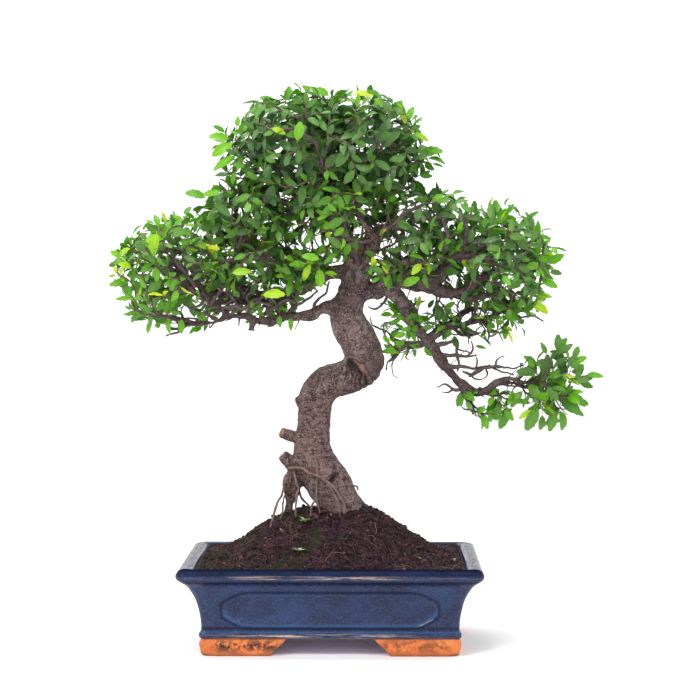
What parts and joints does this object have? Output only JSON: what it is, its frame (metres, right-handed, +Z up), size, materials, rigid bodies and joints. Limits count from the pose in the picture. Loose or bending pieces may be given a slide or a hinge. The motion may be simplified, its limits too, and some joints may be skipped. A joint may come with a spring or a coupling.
{
  "type": "bonsai tree",
  "caption": "Small-leaved elm grown as an S-shaped informal upright bonsai with a low cascading limb, in a glazed rectangular footed pot.",
  "frame": {"origin": "middle of the ground box, on the surface that the pot's feet stand on", "axes": "+Z up along the tree, +X to the right seen from the front, where the cascading limb reaches, +Y to the back"},
  "size_m": [0.5446, 0.23, 0.5871],
  "materials": {
    "glaze": "gloss",
    "soil": "rough",
    "mesh": "matte",
    "bark": "rough",
    "leaf": "satin"
  },
  "bodies": {
    "root": {"drainage_mesh_left": "mesh", "drainage_mesh_right": "mesh", "head_apex_left": "leaf", "head_apex_right": "leaf", "head_left_inner": "leaf", "head_left_outer": "leaf", "head_middle": "leaf", "head_right_inner": "leaf", "head_right_outer": "leaf", "head_shoulder": "leaf", "pot": "glaze", "soil": "soil", "spray_cascade_tip_1": "leaf", "spray_cascade_tip_2": "leaf", "spray_cascade_tip_3": "leaf", "spray_cascade_tip_4": "leaf", "spray_inner_low_1": "leaf", "spray_right_low_1": "leaf", "spray_right_low_2": "leaf", "spray_right_low_3": "leaf", "trunk": "bark"}
  },
  "joints": []
}
